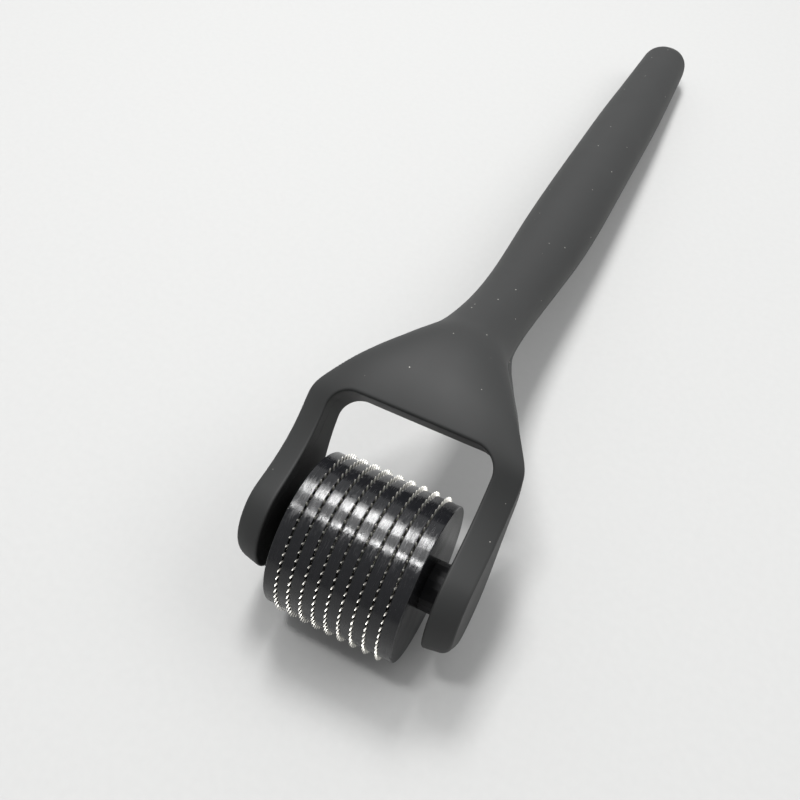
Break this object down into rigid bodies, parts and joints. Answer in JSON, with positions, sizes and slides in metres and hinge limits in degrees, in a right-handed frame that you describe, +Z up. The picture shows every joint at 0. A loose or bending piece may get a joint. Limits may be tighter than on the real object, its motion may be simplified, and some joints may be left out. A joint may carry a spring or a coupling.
{
  "type": "derma roller",
  "caption": "Slim arched handle with a fork that holds a free-turning drum of needle discs, for rolling over skin.",
  "frame": {"origin": "under the middle of the roller, on the surface it lies on", "axes": "+Z up, +Y along the handle from the drum to the tail, +X along the axle to the right seen from the drum end"},
  "size_m": [0.0284, 0.154, 0.0268],
  "materials": {
    "soft_touch_cover": "soft-touch matte, charcoal black",
    "soft_touch_frame": "soft-touch matte, charcoal black",
    "gloss_ring": "gloss black with fine turning lines",
    "hub_plastic": "satin black",
    "bush_plastic": "satin black",
    "needle_steel": "bright, faintly warm",
    "axle_steel": "ground"
  },
  "bodies": {
    "handle": {"front_cover": "soft_touch_cover", "back_frame": "soft_touch_frame", "axle": "axle_steel"},
    "drum": {"drum_hub": "hub_plastic", "needle_disc_1": "needle_steel", "needle_disc_2": "needle_steel", "needle_disc_3": "needle_steel", "needle_disc_4": "needle_steel", "needle_disc_5": "needle_steel", "needle_disc_6": "needle_steel", "needle_disc_7": "needle_steel", "needle_disc_8": "needle_steel", "needle_disc_9": "needle_steel", "spacer_ring_1": "gloss_ring", "spacer_ring_2": "gloss_ring", "spacer_ring_3": "gloss_ring", "spacer_ring_4": "gloss_ring", "spacer_ring_5": "gloss_ring", "spacer_ring_6": "gloss_ring", "spacer_ring_7": "gloss_ring", "spacer_ring_8": "gloss_ring", "end_cap_left": "gloss_ring", "end_cap_right": "gloss_ring", "bush_left": "bush_plastic", "bush_right": "bush_plastic"}
  },
  "joints": [
    {"name": "drum_spin", "type": "hinge", "parent": "handle", "child": "drum", "pos_m": [0, -0.0665, 0.0105], "axis": [1, 0, 0], "continuous": true}
  ]
}
